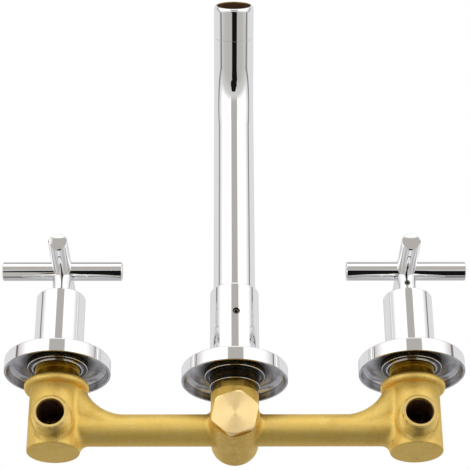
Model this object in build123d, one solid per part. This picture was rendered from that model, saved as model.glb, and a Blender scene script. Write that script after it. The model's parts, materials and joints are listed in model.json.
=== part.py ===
from build123d import *
from math import asin, cos, degrees, radians, sin
import os

# A wall-mounted three-hole faucet with cross handles, in millimetres.
# X runs along the manifold, hot on the left, and Z is up. The finished wall is the plane Y = 0.
# The manifold lies behind it at positive Y, and the handles and spout stand out to negative Y.
# A name that ends in depth is a value of Y. A name that ends in front is a distance in front of
# the wall, and ahead() gives its Y.

# Manifold casting
centre_distance = 200.0
waterway_depth = 34.6
valve_body_diameter = 29.5
valve_body_past_bar = 4.5
valve_body_round = 0.8
shoulder_diameter = 36.4
shoulder_depth = 6.4
shoulder_height = 5.0
shoulder_round = 2.2
neck_diameter = 25.4
neck_front = 9.0
neck_chamfer = 0.6
bar_diameter = 17.8
waterway_diameter = 10.0
elbow_inner_radius = 25.0
elbow_inset = 0.15
elbow_fillet = 2.0
bar_fillet = 5.0
barrel_fillet = 3.5
barrel_diameter = 26.8
barrel_top = 21.0
barrel_bottom = 21.5
barrel_wall = 4.0
barrel_round = 3.0
socket_diameter = 27.0
socket_face_depth = 13.4
socket_bore_length = 11.0
socket_water_diameter = 14.0

# Inlets
pipe_thread_diameter = 20.96
inlet_boss_diameter = 23.0
inlet_boss_reach = 14.9
inlet_boss_fillet = 3.0
inlet_thread_length = 11.1
inlet_thread_chamfer = 0.7
inlet_bore_diameter = 14.8
inlet_mouth_diameter = 18.5
inlet_mouth_length = 1.6
inlet_bore_past_axis = 6.0

# Closing plug
plug_across_flats = 24.0
plug_head_height = 2.8
plug_corner_diameter = 27.0
plug_corner_drop = 0.8
plug_shank_diameter = 19.8
plug_shank_length = 9.5
plug_turn_angle = 11.0
plug_washer_thickness = 0.6
plug_washer_width = 1.6

# Quarter-turn valves
seat_depth = 24.0
seat_hole_diameter = 12.0
seat_hole_floor = 5.0
bonnet_washer_thickness = 1.0
bonnet_flange_diameter = 24.0
bonnet_flange_height = 2.0
bonnet_hex = 19.0
bonnet_hex_height = 7.0
bonnet_nose_diameter = 14.0
bonnet_nose_height = 12.0
bonnet_thread_length = 14.0
skirt_diameter = 17.5
skirt_short_of_seat = 2.0
disc_chamber_diameter = 15.2
window_angle = 84.0
seat_seal_thickness = 4.0
seat_seal_bore = 11.0
fixed_disc_thickness = 4.0
moving_disc_thickness = 4.5
disc_port_angle = 78.0
disc_port_inner_radius = 2.8
disc_port_outer_radius = 6.0
disc_gap = 0.02
tongue_width = 4.0
tongue_height = 2.4
tongue_short_of_drum = 0.5
drum_length = 8.4
stop_neck_diameter = 12.0
stop_length = 3.4
stop_lug_angle = 90.0
quarter_turn = 90.0
stop_spare_angle = 1.0
thrust_washer_thickness = 1.0
spindle_diameter = 9.0
spindle_ring_section = 1.3
spindle_ring_spacing = 6.0
spindle_ring_inset = 4.0
circlip_thickness = 0.8
circlip_diameter = 12.4
circlip_bite = 0.7
circlip_opening = 60.0
spindle_past_circlip = 1.4
spline_diameter = 8.0
spline_tooth_height = 0.5
spline_teeth = 20
spigot_diameter = 5.6
spigot_length = 5.4

# Cross handles
arm_diameter = 11.0
arm_span = 70.0
arm_end_round = 0.9
cross_front = 66.0
handle_neck_length = 28.0
hub_proud = 0.6
hub_round = 0.8
handle_screw_front = 55.5
handle_screw_diameter = 3.4
handle_screw_recess = 0.4

# Sleeves over the valves
sleeve_diameter = 28.0
sleeve_back_front = 2.15
sleeve_front = 48.0
sleeve_face_thickness = 2.5
sleeve_bore_diameter = 24.8
sleeve_front_round = 0.8
sleeve_neck_gap = 0.5

# Wall flanges
flange_diameter = 60.0
flange_height = 8.2
flange_wall = 1.3
flange_edge_round = 1.0
flange_boss_diameter = 34.0
flange_boss_setback = 2.8
flange_boss_chamfer = 0.6
flange_ring_section = 1.5
spout_flange_depth = 5.15

# Spout
nipple_hex = 21.5
nipple_turn_angle = -66.0
nipple_thread_length = 10.0
nipple_bore = 12.5
spigot_outer_diameter = 19.0
spigot_front = 37.5
nipple_ring_section = 1.8
nipple_ring_front = 6.0
nipple_ring_spacing = 9.0
screw_groove_bite = 1.6
screw_groove_width = 5.0
collar_diameter = 28.0
collar_back_depth = 8.75
collar_front = 51.5
collar_tube_hold = 12.5
collar_front_round = 1.2
collar_back_chamfer = 0.5
collar_screw_front = 32.9
collar_screw_turn = 4.0
collar_screw_diameter = 3.8
collar_screw_recess = 1.2
tube_diameter = 24.0
tube_wall = 1.2
tube_straight_front = 163.0
bend_radius = 50.0
bend_angle = 50.0
outlet_run = 37.0
tip_length = 19.8
tip_opening_diameter = 20.6
tip_lip_length = 2.5
tip_spigot_length = 5.0
tip_shoulder_bore = 18.0
straightener_inset = 5.2
straightener_pocket_diameter = 19.8
straightener_thickness = 5.0
straightener_cell = 3.4
straightener_web = 0.7
straightener_rows = 5
straightener_seal_thickness = 1.0

# Clearances
thread_clearance = 0.05
running_clearance = 0.06
spindle_clearance = 0.10
slide_clearance = 0.10
seat_clearance = 0.05
ring_clearance = 0.05
ring_groove_clearance = 0.1

# Shapes that come back in several pieces
ring_corner_share = 0.3
screw_socket_share = 0.5
screw_tip_share = 0.15
cutter_overrun = 1.0
same_size = 0.01

# Sizes that follow from the ones above
valve_x = centre_distance / 2
handle_back = cross_front - handle_neck_length
bonnet_front_face = neck_front + bonnet_washer_thickness
nose_front = bonnet_front_face + bonnet_flange_height + bonnet_hex_height + bonnet_nose_height
fixed_disc_depth = seat_depth - seat_seal_thickness
moving_disc_depth = fixed_disc_depth - fixed_disc_thickness - disc_gap
drum_depth = moving_disc_depth - moving_disc_thickness - disc_gap
drum_front_depth = drum_depth - drum_length
chamber_top_depth = drum_front_depth - thrust_washer_thickness - seat_clearance
inlet_tip = inlet_boss_reach + inlet_thread_length
spline_tip_front = handle_screw_front - spigot_length / 2
spigot_tip_front = handle_screw_front + spigot_length / 2
elbow_radius = elbow_inner_radius + bar_diameter / 2
elbow_centre_x = valve_x - valve_body_diameter / 2 - elbow_inner_radius
elbow_centre_depth = waterway_depth - elbow_radius
valve_body_depth = waterway_depth + bar_diameter / 2 + valve_body_past_bar


def ahead(front):
    """The Y of a point this far in front of the wall."""
    return -front


def rod(diameter, back, front, x=0.0):
    """A round bar along Y between two values of Y, back being the one nearer the manifold."""
    place = Pos(x, (back + front) / 2, 0) * Rot(90, 0, 0)
    return place * Cylinder(diameter / 2, back - front)


def pipe(outer, inner, back, front):
    """A round tube along Y."""
    return rod(outer, back, front) - rod(inner, back, front)


def pie(diameter, back, front, start, width):
    """A wedge of a round bar along Y; angles run from +X towards +Z."""
    place = Pos(0, back, 0) * Rot(90, 0, 0) * Rot(0, 0, start)
    return place * Cylinder(diameter / 2, back - front, arc_size=width, align=None)


def facing_out(back):
    """The plane at this Y whose normal points away from the wall, X to the right and Z up."""
    return Plane((0, back, 0), x_dir=(1, 0, 0), z_dir=(0, -1, 0))


def hexagon(across_flats, back, front, turn):
    """A hexagonal bar along Y, with one corner this many degrees from +X towards +Z."""
    outline = RegularPolygon(across_flats / 2, 6, major_radius=False, rotation=turn)
    return extrude(facing_out(back) * outline, back - front)


def ring(bore, section, depth):
    """A rubber ring round the Y axis, squeezed flat at its sides, centred at a value of Y."""
    middle = (bore + section) / 2
    outline = chamfer(Rectangle(section, section).vertices(), section * ring_corner_share)
    return revolve(Pos(middle, depth, 0) * outline, Axis.Y)


def ring_groove(outer, inner, section, depth):
    """What is cut away for a rubber ring of this section at a value of Y."""
    half = section / 2 + ring_groove_clearance
    return pipe(outer, inner, depth + half, depth - half)


def rims(part, diameter, depth):
    """The round edges of a part that have this diameter and lie at this Y."""
    found = []
    for edge in part.edges().filter_by(GeomType.CIRCLE):
        if abs(edge.radius - diameter / 2) < same_size and abs(edge.arc_center.Y - depth) < same_size:
            found.append(edge)
    return found


def upright(diameter, low, high, x=0.0, y=0.0):
    """A round bar along Z between two heights."""
    return Pos(x, y, (low + high) / 2) * Cylinder(diameter / 2, high - low)


def inlet_bar(diameter, low, high):
    """A round bar along Z on the axis of the right-hand inlet."""
    return upright(diameter, low, high, valve_x, waterway_depth)


def barrel_bar(diameter, low, high):
    """A round bar along Z on the axis of the barrel."""
    return upright(diameter, low, high, 0, waterway_depth)


def grub_screw(diameter, length):
    """A headless screw along Z, its hexagon socket upwards and its tip at the origin."""
    body = upright(diameter, 0, length)
    body = chamfer(body.edges().group_by(Axis.Z)[0], diameter * screw_tip_share)
    socket = RegularPolygon(diameter / 4, 6, major_radius=False)
    return body - Pos(0, 0, length * screw_socket_share) * extrude(socket, length)


def crossings(part):
    """The curved edges where round bars of a casting meet."""
    return part.edges().filter_by(GeomType.BSPLINE)


def level_bar(diameter, start, end):
    """A round bar along X at the depth of the waterway."""
    return Pos((start + end) / 2, waterway_depth, 0) * Rot(0, 90, 0) * Cylinder(diameter / 2, end - start)


def elbow(diameter):
    """The bend from the right-hand end of the bar up to the middle of the shoulder's thickness."""
    end_depth = shoulder_depth + shoulder_height / 2
    end_angle = degrees(asin((end_depth - elbow_centre_depth) / elbow_radius))
    path = CenterArc((elbow_centre_x, elbow_centre_depth), elbow_radius, end_angle, 90 - end_angle)
    section = Plane(path @ 0, z_dir=path % 0) * Circle(diameter / 2)
    return sweep(section, path)


def valve_body():
    """The right-hand valve body of the casting, solid, with its end of the bar and its inlet boss."""
    body = rod(valve_body_diameter, valve_body_depth, shoulder_depth, valve_x)
    body = fillet(rims(body, valve_body_diameter, valve_body_depth), valve_body_round)
    body = body + level_bar(bar_diameter, elbow_centre_x, valve_x)
    body = fillet(crossings(body), bar_fillet)
    boss_end = -inlet_boss_reach
    waste_end = boss_end - valve_body_diameter
    body = body + inlet_bar(inlet_boss_diameter, waste_end, 0)
    at_boss = []
    for edge in crossings(body):
        start = edge @ 0 - Vector(valve_x, waterway_depth, 0)
        if abs(Vector(start.X, start.Y, 0).length - inlet_boss_diameter / 2) < same_size:
            at_boss.append(edge)
    body = fillet(at_boss, inlet_boss_fillet)
    return body - inlet_bar(2 * valve_body_diameter, waste_end, boss_end)


def valve_side():
    """The right-hand valve body with its elbow, shoulder, neck and inlet thread, solid."""
    shoulder_back = shoulder_depth + shoulder_height
    shoulder = rod(shoulder_diameter, shoulder_back, shoulder_depth, valve_x)
    shoulder = fillet(shoulder.edges().filter_by(GeomType.CIRCLE), shoulder_round)
    neck = rod(neck_diameter, shoulder_back, ahead(neck_front), valve_x)
    neck = chamfer(rims(neck, neck_diameter, ahead(neck_front)), neck_chamfer)
    thread = inlet_bar(pipe_thread_diameter, -inlet_tip, 0)
    thread = chamfer(thread.edges().group_by(Axis.Z)[0], inlet_thread_chamfer)
    body = valve_body() + elbow(bar_diameter - 2 * elbow_inset) + shoulder + neck + thread
    creases = []
    for edge in crossings(body):
        middle = edge @ 0.5
        beside_body = shoulder_back + elbow_inset < middle.Y < waterway_depth - bar_diameter / 2
        if beside_body and bar_diameter / 4 < abs(middle.Z) < bar_diameter / 2:
            creases.append(edge)
    return fillet(creases, elbow_fillet)


def valve_cavity():
    """What is bored out of the right-hand side: bonnet seat, seat hole, inlet and elbow."""
    chamber = rod(pipe_thread_diameter + 2 * thread_clearance, seat_depth, ahead(neck_front), valve_x)
    seat = rod(seat_hole_diameter, valve_body_depth - seat_hole_floor, seat_depth, valve_x)
    inlet = inlet_bar(inlet_bore_diameter, -inlet_tip, inlet_bore_past_axis)
    mouth = Pos(valve_x, waterway_depth, -inlet_tip + inlet_mouth_length / 2) * Cone(
        inlet_mouth_diameter / 2, inlet_bore_diameter / 2, inlet_mouth_length
    )
    return chamber + seat + inlet + mouth + elbow(waterway_diameter)


def middle_of_casting():
    """The barrel, the spout's socket and the bar between the elbows, solid."""
    barrel = barrel_bar(barrel_diameter, -barrel_bottom, barrel_top)
    barrel = fillet(barrel.edges().group_by(Axis.Z)[-1], barrel_round)
    socket = rod(socket_diameter, waterway_depth, socket_face_depth)
    body = barrel + socket + level_bar(bar_diameter, -elbow_centre_x, elbow_centre_x)
    return fillet(crossings(body), barrel_fillet)


def manifold_body():
    """The brass casting, with every waterway."""
    side = valve_side()
    cavity = valve_cavity()
    body = middle_of_casting() + side + mirror(side, Plane.YZ)
    body = body - cavity - mirror(cavity, Plane.YZ)
    body = body - level_bar(waterway_diameter, -elbow_centre_x, elbow_centre_x)
    plug_bore = plug_shank_diameter + 2 * thread_clearance
    body = body - barrel_bar(plug_bore, -barrel_bottom, barrel_top - barrel_wall)
    socket_bore = pipe_thread_diameter + 2 * thread_clearance
    body = body - rod(socket_bore, socket_face_depth + socket_bore_length, socket_face_depth)
    return body - rod(socket_water_diameter, waterway_depth, socket_face_depth)


def centre_plug():
    """The hexagonal plug that closes the barrel, its shank upwards."""
    seat = -barrel_bottom - plug_washer_thickness
    face = seat - plug_head_height
    outline = RegularPolygon(plug_across_flats / 2, 6, major_radius=False, rotation=90 + plug_turn_angle)
    head = extrude(Pos(0, waterway_depth, face) * outline, plug_head_height)
    turned = barrel_bar(plug_corner_diameter, face, seat)
    turned = chamfer(turned.edges().group_by(Axis.Z)[0], plug_corner_drop)
    return (head & turned) + barrel_bar(plug_shank_diameter, seat, plug_shank_length - barrel_bottom)


def plug_washer():
    """The flat ring between the plug's head and the barrel."""
    bore = plug_shank_diameter + 2 * seat_clearance
    low = -barrel_bottom - plug_washer_thickness
    disc = barrel_bar(bore + 2 * plug_washer_width, low, -barrel_bottom)
    return disc - barrel_bar(bore, low, -barrel_bottom)


def valve_bonnet(hand):
    """The turned brass head that screws into a valve body and holds the discs."""
    flange_top = ahead(bonnet_front_face + bonnet_flange_height)
    hex_top = flange_top - bonnet_hex_height
    skirt_end = seat_depth - skirt_short_of_seat
    thread_end = ahead(neck_front) + bonnet_thread_length
    body = rod(bonnet_flange_diameter, ahead(bonnet_front_face), flange_top)
    body = body + hexagon(bonnet_hex, flange_top, hex_top, 0)
    body = body + rod(bonnet_nose_diameter, hex_top, ahead(nose_front))
    body = body + rod(pipe_thread_diameter, thread_end, ahead(bonnet_front_face))
    body = body + rod(skirt_diameter, skirt_end, thread_end)
    body = body - rod(spindle_diameter + 2 * spindle_clearance, skirt_end, ahead(nose_front))
    body = body - rod(disc_chamber_diameter, skirt_end, chamber_top_depth)
    outside = skirt_diameter + cutter_overrun
    for middle in (0, 180):
        start = middle - window_angle / 2
        body = body - pie(outside, moving_disc_depth, drum_depth, start, window_angle)
    stop_angle = 360 - stop_lug_angle - quarter_turn - 2 * stop_spare_angle
    stop_start = stop_lug_angle + quarter_turn + stop_spare_angle
    stop_back = drum_front_depth + stop_length
    stop_bore = stop_neck_diameter + 2 * running_clearance
    stop = pie(disc_chamber_diameter, stop_back, chamber_top_depth, stop_start, stop_angle)
    body = body + (stop - rod(stop_bore, stop_back, chamber_top_depth))
    if hand < 0:
        body = mirror(body, Plane.YZ)
    return body


def valve_spindle(hand):
    """The spindle, with the lug that stops it after a quarter turn and the tongue for the disc."""
    drum_diameter = disc_chamber_diameter - 2 * running_clearance
    lug_back = drum_front_depth + stop_length + running_clearance
    shaft_front = nose_front + circlip_thickness + seat_clearance + spindle_past_circlip
    body = rod(drum_diameter, drum_depth, lug_back)
    body = body + rod(stop_neck_diameter, lug_back, drum_front_depth)
    body = body + pie(drum_diameter, lug_back, drum_front_depth, 0, stop_lug_angle)
    body = body + rod(spindle_diameter, drum_front_depth, ahead(shaft_front))
    tongue = Box(drum_diameter - 2 * tongue_short_of_drum, tongue_height, tongue_width)
    body = body + Pos(0, drum_depth + tongue_height / 2, 0) * tongue
    body = body + spline(spline_diameter, ahead(shaft_front), ahead(spline_tip_front))
    body = body + rod(spigot_diameter, ahead(spline_tip_front), ahead(spigot_tip_front))
    outside = spindle_diameter + cutter_overrun
    groove_floor = spindle_ring_bore() - 2 * ring_clearance
    for depth in spindle_ring_depths():
        body = body - ring_groove(outside, groove_floor, spindle_ring_section, depth)
    clip_back = ahead(nose_front + seat_clearance)
    clip_floor = spindle_diameter - 2 * circlip_bite
    body = body - pipe(outside, clip_floor, clip_back, clip_back - circlip_thickness)
    if hand < 0:
        body = mirror(body, Plane.YZ)
    return body


def spindle_ring_bore():
    """The bore of a spindle's rubber rings, which clear the bonnet on the outside."""
    return spindle_diameter + 2 * spindle_clearance - 2 * ring_clearance - 2 * spindle_ring_section


def spindle_ring_depths():
    """The Y of each rubber ring on a spindle."""
    first = ahead(nose_front) + spindle_ring_inset
    return [first, first + spindle_ring_spacing]


def spline(diameter, back, front):
    """A bar along Y with straight teeth all round."""
    points = []
    for step in range(2 * spline_teeth):
        angle = radians(step * 180 / spline_teeth)
        radius = diameter / 2 if step % 2 else diameter / 2 - spline_tooth_height
        points.append((radius * cos(angle), radius * sin(angle)))
    outline = make_face(Polyline(*points, close=True))
    return extrude(facing_out(back) * outline, back - front)


def spindle_rings():
    """The two rubber rings that seal a spindle in its bonnet."""
    return [ring(spindle_ring_bore(), spindle_ring_section, depth) for depth in spindle_ring_depths()]


def spindle_circlip():
    """The open ring that keeps a spindle in its bonnet."""
    back = ahead(nose_front + seat_clearance)
    front = back - circlip_thickness
    bore = spindle_diameter - 2 * circlip_bite + 2 * seat_clearance
    opening_start = 90 - circlip_opening / 2
    clip = pipe(circlip_diameter, bore, back, front)
    return clip - pie(circlip_diameter + cutter_overrun, back, front, opening_start, circlip_opening)


def thrust_washer():
    """The thin ring that a spindle's drum turns against."""
    back = chamber_top_depth + thrust_washer_thickness
    return pipe(stop_neck_diameter, spindle_diameter + 2 * spindle_clearance, back, chamber_top_depth)


def bonnet_washer():
    """The flat ring between a bonnet and its neck."""
    inner = pipe_thread_diameter + 2 * thread_clearance
    return pipe(bonnet_flange_diameter, inner, ahead(neck_front), ahead(bonnet_front_face))


def disc_port(start, outer, thickness, depth):
    """One of the two sector openings of a ceramic disc."""
    wedge = pie(outer, depth, depth - thickness, start - disc_port_angle / 2, disc_port_angle)
    return wedge - rod(2 * disc_port_inner_radius, depth, depth - thickness)


def moving_disc():
    """The ceramic disc that turns with a spindle. Its openings run out at the rim."""
    diameter = disc_chamber_diameter - 2 * slide_clearance
    front = moving_disc_depth - moving_disc_thickness
    disc = rod(diameter, moving_disc_depth, front)
    for start in (quarter_turn, quarter_turn + 180):
        disc = disc - disc_port(start, diameter + cutter_overrun, moving_disc_thickness, moving_disc_depth)
    slot_height = tongue_height + slide_clearance
    slot_width = tongue_width + 2 * seat_clearance
    slot = Box(diameter + cutter_overrun, slot_height, slot_width)
    return disc - Pos(0, front + slot_height / 2, 0) * slot


def fixed_disc():
    """The ceramic disc that stays still, with two sector holes."""
    diameter = disc_chamber_diameter - 2 * seat_clearance
    disc = rod(diameter, fixed_disc_depth, fixed_disc_depth - fixed_disc_thickness)
    for start in (0, 180):
        disc = disc - disc_port(start, 2 * disc_port_outer_radius, fixed_disc_thickness, fixed_disc_depth)
    return disc


def seat_seal():
    """The rubber ring between the fixed disc and the seat of the valve body."""
    outer = disc_chamber_diameter - 2 * seat_clearance
    return pipe(outer, seat_seal_bore, seat_depth, fixed_disc_depth)


def valve_sleeve():
    """The chrome sleeve that screws onto a neck and hides the valve."""
    back = ahead(sleeve_back_front)
    front = ahead(sleeve_front)
    body = rod(sleeve_diameter, back, front)
    body = fillet(rims(body, sleeve_diameter, front), sleeve_front_round)
    body = body - rod(neck_diameter + 2 * thread_clearance, back, ahead(neck_front))
    body = body - rod(sleeve_bore_diameter, ahead(neck_front), front + sleeve_face_thickness)
    return body - rod(arm_diameter + 2 * sleeve_neck_gap, back, front)


def cross_handle(screw_side):
    """Four round arms and a neck in one piece, with a splined socket for the spindle."""
    centre = ahead(cross_front)
    arm = Cylinder(arm_diameter / 2, arm_span)
    arm = fillet(arm.edges().filter_by(GeomType.CIRCLE), arm_end_round)
    front = centre - arm_diameter / 2 - hub_proud
    neck = rod(arm_diameter, ahead(handle_back), front)
    neck = fillet(rims(neck, arm_diameter, front), hub_round)
    body = Pos(0, centre, 0) * arm + Pos(0, centre, 0) * Rot(0, 90, 0) * arm + neck
    spline_end = ahead(spline_tip_front + slide_clearance)
    body = body - spline(spline_diameter + 2 * seat_clearance, ahead(handle_back), spline_end)
    spigot_end = ahead(spigot_tip_front + slide_clearance)
    body = body - rod(spigot_diameter + 2 * slide_clearance, spline_end, spigot_end)
    hole = upright(handle_screw_diameter, 0, arm_diameter, 0, ahead(handle_screw_front))
    if screw_side < 0:
        hole = mirror(hole, Plane.XY)
    return body - hole


def handle_grub_screw(screw_side):
    """The small screw that holds a handle on its spindle."""
    tip = spigot_diameter / 2 + seat_clearance
    length = arm_diameter / 2 - handle_screw_recess - tip
    screw = grub_screw(handle_screw_diameter - 2 * seat_clearance, length)
    screw = Pos(0, ahead(handle_screw_front), tip) * screw
    if screw_side < 0:
        screw = mirror(screw, Plane.XY)
    return screw


def wall_flange(rim_depth):
    """A hollow round cover plate with a boss that grips a sleeve; rim_depth is the Y of its rim."""
    front = rim_depth - flange_height
    boss_back = rim_depth - flange_boss_setback
    body = rod(flange_diameter, rim_depth, front)
    body = fillet(rims(body, flange_diameter, front), flange_edge_round)
    body = body - rod(flange_diameter - 2 * flange_wall, rim_depth, front + flange_wall)
    boss = rod(flange_boss_diameter, boss_back, front + flange_wall / 2)
    body = body + chamfer(rims(boss, flange_boss_diameter, boss_back), flange_boss_chamfer)
    bore = sleeve_diameter + 2 * slide_clearance
    body = body - rod(bore, rim_depth, front)
    groove_floor = flange_ring_bore() + 2 * flange_ring_section + 2 * ring_clearance
    middle = flange_ring_depth(rim_depth)
    return body - ring_groove(groove_floor, sleeve_diameter, flange_ring_section, middle)


def flange_ring_bore():
    """The bore of a flange's rubber ring, which runs on the sleeve or the collar."""
    return sleeve_diameter + 2 * running_clearance


def flange_ring_depth(rim_depth):
    """The Y of the rubber ring inside a flange's boss."""
    return rim_depth - (flange_boss_setback + flange_height) / 2


def flange_ring(rim_depth):
    """The rubber ring that holds a flange where it is slid to."""
    return ring(flange_ring_bore(), flange_ring_section, flange_ring_depth(rim_depth))


def spout_nipple():
    """The hexagonal brass nipple that screws into the socket and carries the spout."""
    thread_end = socket_face_depth + nipple_thread_length
    front = ahead(spigot_front)
    body = rod(pipe_thread_diameter, thread_end, socket_face_depth)
    body = body + hexagon(nipple_hex, socket_face_depth, collar_back_depth, nipple_turn_angle)
    body = body + rod(spigot_outer_diameter, collar_back_depth, front)
    body = body - rod(nipple_bore, thread_end, front)
    outside = spigot_outer_diameter + cutter_overrun
    groove_floor = nipple_ring_bore() - 2 * ring_clearance
    for depth in nipple_ring_depths():
        body = body - ring_groove(outside, groove_floor, nipple_ring_section, depth)
    screw_groove_back = ahead(collar_screw_front) + screw_groove_width / 2
    screw_groove_front = screw_groove_back - screw_groove_width
    screw_groove_floor = spigot_outer_diameter - 2 * screw_groove_bite
    return body - pipe(outside, screw_groove_floor, screw_groove_back, screw_groove_front)


def collar_bore():
    """The bore of the spout collar, which the nipple's spigot fills."""
    return spigot_outer_diameter + 2 * seat_clearance


def nipple_ring_bore():
    """The bore of the nipple's rubber rings, which fill the collar on the outside."""
    return collar_bore() - 2 * ring_clearance - 2 * nipple_ring_section


def nipple_ring_depths():
    """The Y of each rubber ring on the spout nipple."""
    return [ahead(nipple_ring_front), ahead(nipple_ring_front + nipple_ring_spacing)]


def nipple_rings():
    """The two rubber rings that seal the spout on its nipple."""
    return [ring(nipple_ring_bore(), nipple_ring_section, depth) for depth in nipple_ring_depths()]


def spout_collar():
    """The thick chrome collar at the root of the spout."""
    front = ahead(collar_front)
    step = front + collar_tube_hold
    body = rod(collar_diameter, collar_back_depth, front)
    body = fillet(rims(body, collar_diameter, front), collar_front_round)
    body = chamfer(rims(body, collar_diameter, collar_back_depth), collar_back_chamfer)
    body = body - rod(collar_bore(), collar_back_depth, front)
    body = body - rod(tube_diameter + 2 * seat_clearance, step, front)
    return body - collar_screw_place() * upright(collar_screw_diameter, 0, collar_diameter)


def collar_screw_place():
    """Turns the Z axis to the line of the collar's screw, pointing out of the collar."""
    return Pos(0, ahead(collar_screw_front), 0) * Rot(0, 180 - collar_screw_turn, 0)


def collar_grub_screw():
    """The screw that locks the spout on its nipple."""
    tip = spigot_outer_diameter / 2 - screw_groove_bite + seat_clearance
    length = collar_diameter / 2 - collar_screw_recess - tip
    screw = grub_screw(collar_screw_diameter - 2 * seat_clearance, length)
    return collar_screw_place() * Pos(0, 0, tip) * screw


def side_view():
    """The plane X = 0, its x running out from the wall and its y running down."""
    return Plane((0, 0, 0), x_dir=(0, -1, 0), z_dir=(1, 0, 0))


def spout_bar(diameter, start, last_run):
    """A round bar along the centre line of the spout: straight out, a bend, and a run down."""
    straight = Line((start, 0), (tube_straight_front, 0))
    bend = JernArc(straight @ 1, straight % 1, bend_radius, bend_angle)
    down = Line(bend @ 1, bend @ 1 + (bend % 1) * last_run)
    line = side_view() * (straight + bend + down)
    section = Plane(line @ 0, z_dir=line % 0) * Circle(diameter / 2)
    return sweep(section, line)


def spout_tube():
    """The bent chrome tube."""
    start = collar_front - collar_tube_hold + seat_clearance
    last_run = outlet_run - tip_length
    outer = spout_bar(tube_diameter, start, last_run)
    return outer - spout_bar(tube_diameter - 2 * tube_wall, start, last_run)


def outlet_plane():
    """The plane of the outlet, facing out of the spout."""
    angle = radians(bend_angle)
    front = tube_straight_front + bend_radius * sin(angle) + outlet_run * cos(angle)
    drop = bend_radius * (1 - cos(angle)) + outlet_run * sin(angle)
    return Plane((0, ahead(front), -drop), x_dir=(1, 0, 0), z_dir=(0, -cos(angle), -sin(angle)))


def straightener_back():
    """How far inside the outlet the straightener ends and its seal begins."""
    return straightener_inset + straightener_thickness


def spout_tip():
    """The end piece of the spout, with its rounded lip and the seat of the straightener."""
    outer = tube_diameter / 2
    opening = tip_opening_diameter / 2
    pocket = straightener_pocket_diameter / 2
    shoulder = straightener_back() + straightener_seal_thickness
    hold = outer - tube_wall - seat_clearance
    end = tip_length + tip_spigot_length
    lip = EllipticalCenterArc((opening, -tip_lip_length), outer - opening, tip_lip_length, 0, arc_size=90)
    walls = Polyline(
        (opening, 0),
        (opening, -straightener_inset),
        (pocket, -straightener_inset),
        (pocket, -shoulder),
        (tip_shoulder_bore / 2, -shoulder),
        (tip_shoulder_bore / 2, -end),
        (hold, -end),
        (hold, -tip_length),
        (outer, -tip_length),
        (outer, -tip_lip_length),
    )
    outline = Plane.XZ * make_face(lip + walls)
    return outlet_plane() * revolve(outline, Axis.Z)


def flow_straightener():
    """The round insert with six-sided cells that smooths the stream."""
    radius = straightener_pocket_diameter / 2 - seat_clearance
    disc = Circle(radius)
    pitch = straightener_cell + straightener_web
    cell = RegularPolygon(straightener_cell / 2, 6, major_radius=False)
    reach = radius - straightener_cell / 2 - straightener_web
    for place in HexLocations(pitch / 2, straightener_rows, straightener_rows, major_radius=False):
        if place.position.length < reach:
            disc = disc - place * cell
    return outlet_plane() * Pos(0, 0, -straightener_back()) * extrude(disc, straightener_thickness)


def straightener_seal():
    """The flat rubber ring behind the straightener."""
    outline = Circle(straightener_pocket_diameter / 2 - seat_clearance) - Circle(tip_shoulder_bore / 2)
    back = straightener_back() + straightener_seal_thickness
    return outlet_plane() * Pos(0, 0, -back) * extrude(outline, straightener_seal_thickness)


def write(part, name):
    """Writes one piece to its own file."""
    export_step(part, f"parts/{name}.step")


def write_valve(name, hand, screw_side):
    """Writes every piece of one valve, its handle, its sleeve and its flange."""
    place = Pos(-hand * valve_x, 0, 0)
    pieces = {
        "bonnet": valve_bonnet(hand),
        "bonnet_washer": bonnet_washer(),
        "thrust_washer": thrust_washer(),
        "fixed_disc": fixed_disc(),
        "seat_seal": seat_seal(),
        "moving_disc": moving_disc(),
        "spindle": valve_spindle(hand),
        "spindle_o_rings": Compound(spindle_rings()),
        "spindle_circlip": spindle_circlip(),
        "cross_handle": cross_handle(screw_side),
        "handle_grub_screw": handle_grub_screw(screw_side),
        "sleeve": valve_sleeve(),
        "wall_flange": wall_flange(0.0),
        "flange_o_ring": flange_ring(0.0),
    }
    for piece, part in pieces.items():
        write(place * part, f"{name}_{piece}")


def write_spout():
    """Writes every piece of the spout and its flange."""
    write(spout_nipple(), "spout_nipple")
    write(Compound(nipple_rings()), "nipple_o_rings")
    write(spout_collar(), "spout_collar")
    write(collar_grub_screw(), "collar_grub_screw")
    write(spout_tube(), "spout_tube")
    write(spout_tip(), "spout_tip")
    write(flow_straightener(), "flow_straightener")
    write(straightener_seal(), "straightener_seal")
    write(wall_flange(spout_flange_depth), "spout_wall_flange")
    write(flange_ring(spout_flange_depth), "spout_flange_o_ring")


os.makedirs("parts", exist_ok=True)
write(manifold_body(), "manifold_body")
write(centre_plug(), "centre_plug")
write(plug_washer(), "plug_washer")
write_valve("hot", 1, 1)
write_valve("cold", -1, -1)
write_spout()
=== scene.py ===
import json
import math

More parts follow.
